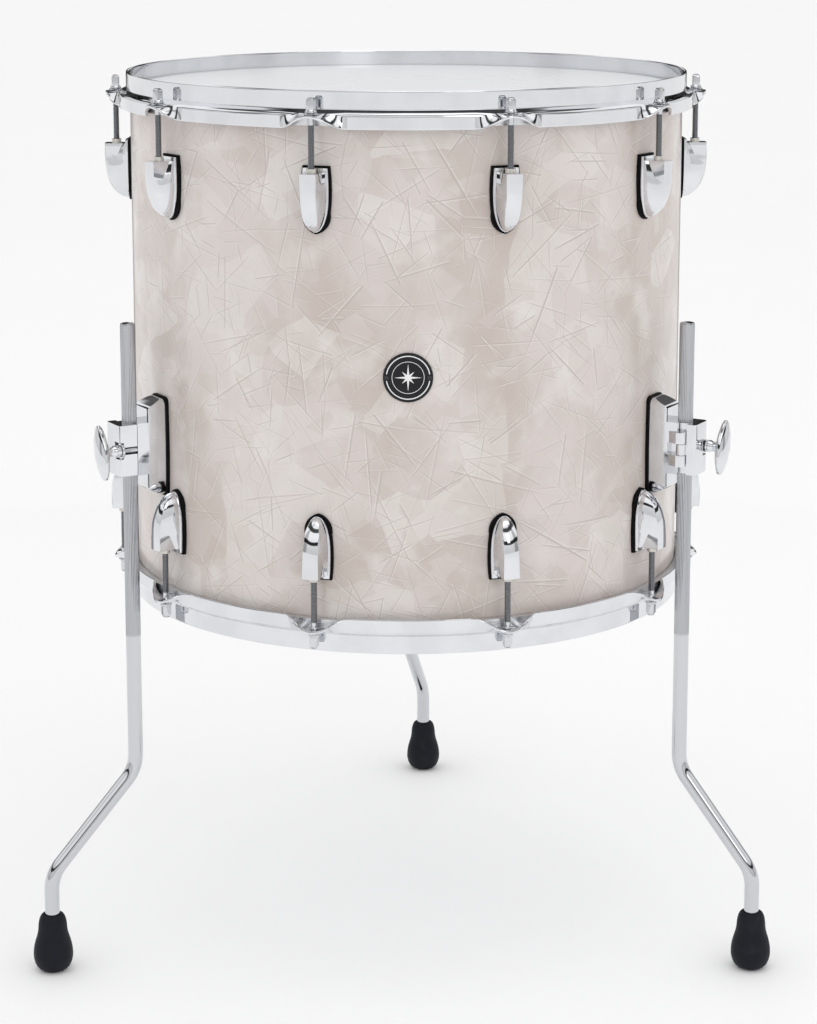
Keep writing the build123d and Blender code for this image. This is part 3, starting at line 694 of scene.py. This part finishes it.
rod_finish = Finish("rod_chrome", (0.6, 0.61, 0.63), 0.15, {"Metallic": 1.0})
rod_height = rod_finish.parts(rod_finish.place)[2]
thread_end = (COLLAR_LOW - NECK_LONG - MIDDLE_Z) * MM
rod_reach = abs(rod_height - MIDDLE_Z * MM)
thread = rod_finish.rise(rod_reach, thread_end - 0.0004, thread_end, 1.0, 0.0)
oily = rod_finish.noise(500, 3)
rod_tone = rod_finish.mix(thread, (0.72, 0.73, 0.755), (0.26, 0.27, 0.285))
rod_finish.feed("Base Color", rod_finish.mix(oily * 0.3, rod_tone, (0.35, 0.35, 0.36)))
rod_finish.feed("Roughness", 0.08 + 0.14 * thread + 0.06 * oily)
rod_chrome = rod_finish.material
for end, upside_down in (("top", False), ("bottom", True)):
    for number, angle in enumerate(ROD_ANGLES, start=1):
        bm = rod_shape()
        bmesh.ops.translate(bm, vec=Vector((0, -ROD_CIRCLE, 0)), verts=bm.verts)
        bm = copies(bm, round_shell([angle], upside_down))
        node = f"{end}_tension_rod_{number}"
        piece(f"{end}_rod_{number}", bm, node, rod_chrome, [node])

washer_outline = [(2.7, 0.15), (2.9, 0), (5.1, 0), (5.5, 0.25), (5.6, 0.55), (5.4, 0.9)]
washer_outline += [(4.4, 1.3), (2.9, 1.3), (2.7, 1.15)]
washer_bm = spun_ring(washer_outline, 40)
bmesh.ops.recalc_face_normals(washer_bm, faces=washer_bm.faces)
bmesh.ops.translate(
    washer_bm, vec=Vector((0, -ROD_CIRCLE, COLLAR_LOW - 1.4)), verts=washer_bm.verts
)
washer_places = round_shell(ROD_ANGLES) + round_shell(ROD_ANGLES, True)
washer_bm = copies(washer_bm, washer_places)
piece("hoop_washers", washer_bm, "root", rod_chrome, ["rod_washers"])

# ---- Lugs ----------------------------------------------------------------------------
# Zinc die castings, bullet-shaped, ridged down the middle and creased at each side, chromed.
# Each sits on a black rubber gasket, and holds a nickel-plated swivel nut for its rod.

LUG_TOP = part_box("top_lugs")[1][2] / MM
LUG_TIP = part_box("top_lugs")[0][2] / MM
LUG_FLAT = LUG_TOP - 3.0
LUG_SEAT = 230.3
PLATE_FRONT = 232.7
LUG_OUT = 250.3
BULLET_HALF = 9.4
FLANGE_HALF = 10.6
LUG_LEVELS = [0.0, 0.05, 0.15, 0.27, 0.39, 0.5, 0.6, 0.7, 0.79, 0.87, 0.93, 0.97, 0.995]


def bullet_half(share, half):
    """Half the bullet's width at a share of its length: bulged sides and a round tip."""
    if share < 0.35:
        return half * (0.93 + 0.07 * math.sin(share / 0.35 * math.pi / 2))
    past = (share - 0.35) / 0.65
    return half * (1 - past**2.6) ** 0.5


def lug_level(share):
    """The lug's (along, radius) section: flank, crease, brow and the ridge down its middle."""
    base = max(bullet_half(share, BULLET_HALF), 0.3)
    fall = max(0.0, (share - 0.22) / 0.78)
    peak = PLATE_FRONT + (LUG_OUT - PLATE_FRONT) * (1 - fall**2.5) ** 0.62
    ridge = min(6.6 - 1.2 * share, base * 0.74)
    crease = max(0.0, 1 - share / 0.46)
    brow = peak - (peak - PLATE_FRONT) * (0.05 + 0.05 * share)
    spine = max(0.0, 1 - share / 0.66)
    waist_t = ridge + (base - ridge) * (1 - crease) * 0.55
    waist_r = PLATE_FRONT + (brow - PLATE_FRONT) * (0.12 + 0.62 * (1 - crease))
    half = [
        (base, PLATE_FRONT - 1.0),
        (base - 0.15, PLATE_FRONT + (waist_r - PLATE_FRONT) * 0.35),
        (waist_t, waist_r),
        (ridge, brow),
        (ridge * 0.45, brow + (peak - brow) * 0.8 - 0.25 * spine),
    ]
    left = [(-t, r) for t, r in half]
    return [*half, (0, peak - 0.1 * spine), *left[::-1]]


def closed_loft(rows):
    """Skin from row to row of points, closed by a face at each end."""
    bm = bmesh.new()
    loops = []
    for row in rows:
        points = [bm.verts.new(place) for place in row]
        loops.append([bm.edges.new(pair) for pair in zip(points, points[1:] + points[:1])])
    for near, far in zip(loops, loops[1:]):
        bmesh.ops.bridge_loops(bm, edges=near + far)
    for loop in (loops[0], loops[-1]):
        bmesh.ops.contextual_create(bm, geom=loop)
    bmesh.ops.recalc_face_normals(bm, faces=bm.faces)
    return bm


def lug_casting():
    """A lug's bullet on its flange."""
    rows = []
    for share in LUG_LEVELS:
        height = LUG_FLAT + (LUG_TIP + 0.6 - LUG_FLAT) * share
        rows.append([(t, -r, height) for t, r in lug_level(share)])
    bullet = closed_loft(rows)
    rows = []
    for share in LUG_LEVELS:
        height = LUG_TOP + (LUG_TIP - LUG_TOP) * share
        half = max(bullet_half(share, FLANGE_HALF), 0.4)
        right = [(half, LUG_SEAT), (half, PLATE_FRONT - 1.0), (half - 0.35, PLATE_FRONT)]
        outline = right + [(-t, r) for t, r in right[::-1]]
        rows.append([(t, -r, height) for t, r in outline])
    return joined(bullet, closed_loft(rows))


def eased(made, width, angle=25):
    """Round a piece's edges by a width in millimetres."""
    bevel = made.modifiers.new("eased", "BEVEL")
    bevel.width = width * MM
    bevel.segments = 2
    bevel.limit_method = "ANGLE"
    bevel.angle_limit = math.radians(angle)
    made.data.shade_smooth()
    flats = made.modifiers.new("flats", "WEIGHTED_NORMAL")
    flats.weight = 80
    settled(made)


lug_chrome = chrome("lug_chrome", ripple=0.04)
for end, upside_down in (("top", False), ("bottom", True)):
    bm = copies(lug_casting(), round_shell(ROD_ANGLES, upside_down))
    lugs = piece(f"{end}_castings", bm, "root", lug_chrome, [f"{end}_lugs"])
    eased(lugs, 0.22, 18)

nickel = Finish("nickel_plate", (0.62, 0.60, 0.56), 0.25, {"Metallic": 1.0})
nickel.feed("Roughness", nickel.rise(nickel.noise(400, 3), 0.3, 0.7, 0.18, 0.32))
nickel.bump(nickel.noise(900, 2), 0.1, 0.00005)
repaint("swivel_nuts", nickel.material)

# ---- Gaskets -------------------------------------------------------------------------
# Soft black rubber pads moulded to the outline of each casting. They stand out a little all
# round it and keep the metal off the wrap. Their faces have a fine moulded grain.


def rubber(name, colour, worn, low, high):
    """Rubber with a fine grain, and paler where it is rubbed."""
    finish = Finish(name, colour, 0.6, {"Specular IOR Level": 0.12})
    rub = finish.noise(60, 4)
    finish.feed("Base Color", finish.mix(finish.rise(rub, 0.5, 0.8, 0.0, 1.0), colour, worn))
    finish.feed("Roughness", finish.rise(rub, 0.3, 0.7, low, high))
    finish.bump(finish.noise(2600, 2), 0.25, 0.00005)
    return finish.material


GASKET_BLACK = (0.002, 0.002, 0.003)
GASKET_WORN = (0.006, 0.006, 0.007)
gasket_rubber = rubber("gasket_rubber", GASKET_BLACK, GASKET_WORN, 0.55, 0.75)
repaint("lug_gaskets", gasket_rubber)
repaint("bracket_gaskets", gasket_rubber)

# ---- Leg brackets and gates ----------------------------------------------------------
# Zinc die castings: a base on its gasket, a clamp block with the leg's groove, and a gate on a
# steel pin that closes over the leg. Linished flat, edges eased, then chromed.


def softened(name, node, body, material, width):
    """A merged copy of a casting's shape, with its edges eased."""
    bm = bmesh.new()
    bm.from_mesh(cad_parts[node].data)
    bmesh.ops.remove_doubles(bm, verts=bm.verts, dist=0.000002)
    bmesh.ops.dissolve_limit(
        bm, angle_limit=math.radians(0.05), verts=bm.verts, edges=bm.edges, delimit={"NORMAL"}
    )
    bmesh.ops.scale(bm, vec=Vector((1 / MM, 1 / MM, 1 / MM)), verts=bm.verts)
    eased(piece(name, bm, body, material, [node]), width, 28)


bracket_chrome = chrome("bracket_chrome", ripple=0.015)
for side in ("left", "right", "back"):
    softened(f"{side}_bracket_casting", f"{side}_bracket", "root", bracket_chrome, 0.45)
    softened(f"{side}_gate_casting", f"{side}_gate", f"{side}_gate_body", bracket_chrome, 0.4)
repaint("hinge_pins", nickel.material)

# ---- Clamp screws --------------------------------------------------------------------
# Steel screw with an oval die-cast wing pressed on its end, parting line round the rim, over a
# turned boss and a loose washer that beds in the gate's seat.

BRACKET_ANGLES = {"left": -59.5, "right": 60.5, "back": 180.5}
KNOB_LEAN = {"left": -17.0, "right": 17.0, "back": 12.0}
SCREW_T = 9.6
CLAMP_Z = 427.5
SHANK_START = 246.0
SHANK_TURNS = 17
SHANK_PITCH = 1.2
WING_CENTRE = 284.4
WING_SQUASH = 0.43


def clamp_screw(side):
    """One clamp screw, from its threaded end to its wing."""
    shank = [(0.0, SHANK_START), (2.1, SHANK_START)]
    for turn in range(SHANK_TURNS):
        crest = SHANK_START + 0.6 + SHANK_PITCH * turn
        shank += [(2.5, crest), (2.5, crest + 0.25), (2.1, crest + 0.65), (2.1, crest + 0.9)]
    shank += [(2.5, 268.0), (2.5, 268.8), (4.4, 268.8), (4.9, 269.3), (4.9, 271.2), (4.5, 271.7)]
    shank += [(4.5, 272.3), (4.9, 272.8), (4.9, 274.4), (4.2, 275.4), (3.9, 277.0), (4.2, 279.0)]
    shank += [(4.8, 281.0), (0.0, 281.5)]
    stem = spun(shank, 40)
    lens_outline = [(0.0, -5.4), (5.5, -5.15), (11.0, -4.5), (16.0, -3.35), (20.0, -2.0)]
    lens_outline += [(21.5, -1.45), (22.1, -0.9), (22.1, -0.4), (21.2, -0.35)]
    lens_outline += [(r, -out) for r, out in lens_outline[::-1]]
    wing = spun(lens_outline, 72)
    lean = Matrix.Rotation(-math.radians(KNOB_LEAN[side]), 4, "Z")
    squash = Matrix.Scale(WING_SQUASH, 4, (1, 0, 0))
    bmesh.ops.transform(wing, matrix=lean @ squash, verts=wing.verts)
    bmesh.ops.translate(wing, vec=Vector((0, 0, WING_CENTRE)), verts=wing.verts)
    bm = joined(stem, wing)
    outward = Matrix.Rotation(math.radians(90), 4, "X")
    place = Matrix.Translation((SCREW_T, 0, CLAMP_Z))
    turn = Matrix.Rotation(math.radians(BRACKET_ANGLES[side]), 4, "Z")
    bmesh.ops.transform(bm, matrix=turn @ place @ outward, verts=bm.verts)
    bmesh.ops.recalc_face_normals(bm, faces=bm.faces)
    return bm


for side in BRACKET_ANGLES:
    body = f"{side}_screw_body"
    node = f"{side}_t_screw"
    piece(f"{side}_clamp_screw", clamp_screw(side), body, bracket_chrome, [node])
    softened(
        f"{side}_seat_washer", f"{side}_clamp_washer", f"{side}_washer_body", bracket_chrome, 0.25
    )

# ---- Legs ----------------------------------------------------------------------------
# Chromed 12 mm steel rod, fluted above so that the clamp grips it, cranked outwards below and
# down into its foot. The top is chamfered where it was parted off.

LEG_AXIS = 256.0
LEG_RADIUS = 6.0
FLUTE_END = 274.0
FLUTE_COUNT = 30
FLUTE_DEEP = 0.38
BEND_STEPS = 14
LEG_TOE = {"left": -5.0, "right": 1.5, "back": -16.0}
BEND_HIGH = 160.0
BEND_LOW = 80.0
BEND_RADIUS = 32.0
LEG_END = 9.0


def leg_shape(side, reach):
    """One leg: a ring of points extruded down the flutes, then spun round the two bends."""
    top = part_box(f"{side}_leg")[1][2] / MM
    crank = math.atan2(reach, BEND_HIGH - BEND_LOW)
    tangent = BEND_RADIUS * math.tan(crank / 2)
    bm = bmesh.new()
    bmesh.ops.create_circle(bm, cap_ends=False, radius=LEG_RADIUS - 1.3, segments=FLUTE_COUNT * 4)
    bmesh.ops.translate(bm, vec=Vector((0, 0, top)), verts=bm.verts)
    loop = list(bm.edges)
    bmesh.ops.contextual_create(bm, geom=loop)

    def grow(height, plain, fluted):
        """Extrude the last ring to a height, round or fluted."""
        nonlocal loop
        made = bmesh.ops.extrude_edge_only(bm, edges=loop)["geom"]
        loop = [item for item in made if isinstance(item, bmesh.types.BMEdge)]
        ring = {vert for edge in loop for vert in edge.verts}
        loop = [edge for edge in loop if all(vert in ring for vert in edge.verts)]
        for item in made:
            if isinstance(item, bmesh.types.BMVert):
                turn = math.atan2(item.co.y, item.co.x)
                wave = 0.5 - 0.5 * math.cos(turn * FLUTE_COUNT)
                radius = plain - fluted * wave**0.6
                item.co = (radius * math.cos(turn), radius * math.sin(turn), height)

    grow(top - 0.35, LEG_RADIUS - 0.45, 0.0)
    grow(top - 1.2, LEG_RADIUS, 0.0)
    grow(top - 2.0, LEG_RADIUS, FLUTE_DEEP)
    for share in (0.25, 0.5, 0.75, 1.0):
        grow(top - 2.0 - (top - 2.0 - FLUTE_END) * share, LEG_RADIUS, FLUTE_DEEP)
    grow(FLUTE_END - 2.0, LEG_RADIUS, 0.0)
    grow(BEND_HIGH + tangent, LEG_RADIUS, 0.0)

    def bend(centre, angle):
        """Spin the last ring round a bend."""
        nonlocal loop
        made = bmesh.ops.spin(
            bm,
            geom=loop + list(dict.fromkeys(vert for edge in loop for vert in edge.verts)),
            cent=centre,
            axis=(1, 0, 0),
            angle=angle,
            steps=BEND_STEPS,
        )
        loop = [item for item in made["geom_last"] if isinstance(item, bmesh.types.BMEdge)]

    def run(vector):
        """Extrude the last ring along a vector."""
        nonlocal loop
        made = bmesh.ops.extrude_edge_only(bm, edges=loop)["geom"]
        verts = [item for item in made if isinstance(item, bmesh.types.BMVert)]
        bmesh.ops.translate(bm, vec=Vector(vector), verts=verts)
        loop = [item for item in made if isinstance(item, bmesh.types.BMEdge)]

    bend((0, -BEND_RADIUS, BEND_HIGH + tangent), -crank)
    slope = math.hypot(reach, BEND_HIGH - BEND_LOW) - 2 * tangent
    run((0, -slope * math.sin(crank), -slope * math.cos(crank)))
    bend((0, -reach + BEND_RADIUS, BEND_LOW - tangent), crank)
    run((0, 0, LEG_END - BEND_LOW + tangent))
    bmesh.ops.contextual_create(bm, geom=loop)
    return bm


def at_leg(bm, side):
    """Move a leg piece, made on its own axis, to its toe and its bracket."""
    turn = Matrix.Rotation(math.radians(BRACKET_ANGLES[side]), 4, "Z")
    toe = Matrix.Rotation(math.radians(LEG_TOE[side]), 4, "Z")
    place = turn @ Matrix.Translation((0, -LEG_AXIS, 0)) @ toe
    bmesh.ops.transform(bm, matrix=place, verts=bm.verts)
    bmesh.ops.remove_doubles(bm, verts=bm.verts, dist=0.001)
    bmesh.ops.recalc_face_normals(bm, faces=bm.faces)
    return bm


def leg_reach(side):
    """How far a leg's foot stands out from its axis."""
    low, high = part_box(f"{side}_foot")
    middle = [(a + b) / 2 / MM for a, b in zip(low, high)]
    turn = math.radians(BRACKET_ANGLES[side])
    return math.hypot(
        middle[0] - LEG_AXIS * math.sin(turn), middle[1] + LEG_AXIS * math.cos(turn)
    )


leg_finish = Finish("leg_chrome", (0.72, 0.73, 0.755), 0.1, {"Metallic": 1.0})
leg_height = leg_finish.parts(leg_finish.place)[2]
flutes = leg_finish.rise(leg_height, (FLUTE_END - 3) * MM, FLUTE_END * MM)
leg_haze = leg_finish.noise(45, 4)
leg_tone = leg_finish.mix(flutes, (0.63, 0.64, 0.668), (0.455, 0.465, 0.49))
leg_finish.feed("Base Color", leg_finish.mix(leg_haze * 0.2, leg_tone, (0.52, 0.52, 0.53)))
leg_finish.feed("Roughness", 0.05 + 0.07 * leg_haze + 0.05 * flutes)
leg_chrome = leg_finish.material
for side in BRACKET_ANGLES:
    bm = at_leg(leg_shape(side, leg_reach(side)), side)
    body = f"{side}_leg_body"
    piece(f"{side}_leg_rod", bm, body, leg_chrome, [f"{side}_leg"], 50)

# ---- Feet ----------------------------------------------------------------------------
# Natural rubber, compression moulded: a bulb on a narrow neck, pushed over the leg's end, with
# a fine matt texture and a flat sole.

foot_outline = [(0, 0), (7.4, 0), (8.6, 0.25), (11.2, 1.5), (13.4, 3.7), (15.0, 7.0), (15.8, 10.5)]
foot_outline += [(16.0, 13.5), (15.8, 17.0), (15.2, 21.0), (14.2, 25.0), (13.0, 28.8), (12.2, 31.8)]
foot_outline += [(11.7, 35.0), (11.5, 38.5), (11.1, 41.5), (10.3, 44.4), (9.2, 46.4), (8.2, 47.3)]
foot_outline += [(7.2, 47.5), (6.3, 47.2), (6.1, 46.0)]
FOOT_BLACK = (0.012, 0.013, 0.018)
FOOT_WORN = (0.022, 0.023, 0.029)
foot_rubber = rubber("foot_rubber", FOOT_BLACK, FOOT_WORN, 0.45, 0.6)
for side in BRACKET_ANGLES:
    bm = spun(foot_outline, 64)
    bmesh.ops.translate(bm, vec=Vector((0, -leg_reach(side), 0)), verts=bm.verts)
    bm = at_leg(bm, side)
    body = f"{side}_leg_body"
    piece(f"{side}_rubber_foot", bm, body, foot_rubber, [f"{side}_foot"])

# ---- Fixings and air hole ------------------------------------------------------------
# Zinc-plated machine screws and washers inside the shell, blackened badge rivets, and a
# rolled brass eyelet, chromed, that lines the air hole.

zinc = Finish("zinc_plate", (0.55, 0.56, 0.58), 0.35, {"Metallic": 1.0})
zinc_cloud = zinc.noise(300, 4)
zinc.feed("Base Color", zinc.mix(zinc_cloud, (0.46, 0.47, 0.50), (0.62, 0.62, 0.63)))
zinc.feed("Roughness", zinc.rise(zinc_cloud, 0.3, 0.7, 0.26, 0.44))
for node in ("lug_screws", "lug_screw_washers", "bracket_screws", "bracket_screw_washers"):
    repaint(node, zinc.material)
repaint("vent_grommet", hoop_chrome)

blackened = Finish("blackened_steel", (0.06, 0.06, 0.065), 0.35, {"Metallic": 1.0})
blackened.feed("Roughness", blackened.rise(blackened.noise(700, 3), 0.3, 0.7, 0.25, 0.45))
repaint("badge_rivets", blackened.material)

# ---- Badge ---------------------------------------------------------------------------
# Cast zinc disc bent to the shell, held by two rivets, filled with gloss black enamel. A raised
# ring, open at the rivets, and an eight-pointed star stand up in polished silver.

BADGE_RADIUS = 19.0
BADGE_TURN = math.radians(0.35)
BADGE_BACK = WRAP_RADIUS / MM + 0.1
BADGE_FRONT = BADGE_BACK + 1.1
MARK_LIFT = 0.2
RING_STEPS = 40
badge_z = sum(corner[2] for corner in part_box("badge")) / 2 / MM


def bent_to_shell(bm):
    """Roll a badge piece, drawn flat with Z outwards, onto the shell at the badge's place."""
    for vert in bm.verts:
        along, up, out = vert.co
        angle = BADGE_TURN + math.asin(along / BADGE_FRONT)
        vert.co = (out * math.sin(angle), -out * math.cos(angle), badge_z + up)
    bmesh.ops.recalc_face_normals(bm, faces=bm.faces)
    return bm


def raised(bm, low, high):
    """Give a flat shape its thickness, from one radius to another."""
    bmesh.ops.translate(bm, vec=Vector((0, 0, low)), verts=bm.verts)
    made = bmesh.ops.extrude_face_region(bm, geom=list(bm.faces))["geom"]
    lifted = [item for item in made if isinstance(item, bmesh.types.BMVert)]
    bmesh.ops.translate(bm, vec=Vector((0, 0, high - low)), verts=lifted)
    return bm


disc = bmesh.new()
bmesh.ops.create_grid(disc, x_segments=40, y_segments=40, size=1)
for vert in disc.verts:
    across, up = vert.co.x, vert.co.y
    vert.co.x = across * math.sqrt(1 - up * up / 2) * BADGE_RADIUS
    vert.co.y = up * math.sqrt(1 - across * across / 2) * BADGE_RADIUS
raised(disc, BADGE_BACK, BADGE_FRONT)


def arc_band(inner, outer, start, end):
    """A flat band of a ring between two angles, in degrees."""
    bm = bmesh.new()
    first = Vector((math.cos(math.radians(start)), math.sin(math.radians(start)), 0))
    ends = [bm.verts.new(first * inner), bm.verts.new(first * outer)]
    bmesh.ops.spin(
        bm,
        geom=[*ends, bm.edges.new(ends)],
        cent=(0, 0, 0),
        axis=(0, 0, 1),
        angle=math.radians(end - start),
        steps=RING_STEPS,
    )
    return raised(bm, BADGE_FRONT - 0.05, BADGE_FRONT + MARK_LIFT)


def star(points, reach, waist):
    """A flat star of narrow points."""
    bm = bmesh.new()
    bmesh.ops.create_circle(bm, cap_ends=True, cap_tris=True, radius=1, segments=points * 2)
    for vert in bm.verts:
        if vert.co.length > 0.5:
            turn = math.atan2(vert.co.x, vert.co.y)
            number = round(turn / (math.pi / points))
            length = waist if number % 2 else reach * (1.0 if number % 4 == 0 else 0.62)
            vert.co = vert.co.normalized() * length
    return raised(bm, BADGE_FRONT - 0.05, BADGE_FRONT + MARK_LIFT)


enamel_gloss = {"Specular IOR Level": 0.2, "Coat Weight": 0.08}
enamel = Finish("black_enamel", (0.008, 0.008, 0.010), 0.2, enamel_gloss)
flow = enamel.noise(120, 3)
enamel.feed("Base Color", enamel.mix(flow, (0.006, 0.006, 0.008), (0.014, 0.014, 0.017)))
enamel.feed("Roughness", enamel.rise(flow, 0.3, 0.7, 0.15, 0.3))
enamel.bump(flow, 0.05, 0.0002)
silver = chrome("badge_silver", (0.86, 0.86, 0.87), 0.12, 0.25)
piece("badge_disc", bent_to_shell(disc), "root", enamel.material, ["badge"])
marks = joined(arc_band(16.1, 16.9, 9, 171), arc_band(16.1, 16.9, 189, 351), star(8, 10.5, 2.3))
ring = joined(marks, arc_band(12.0, 12.4, 0, 360))
piece("badge_ring_and_star", bent_to_shell(ring), "root", silver)
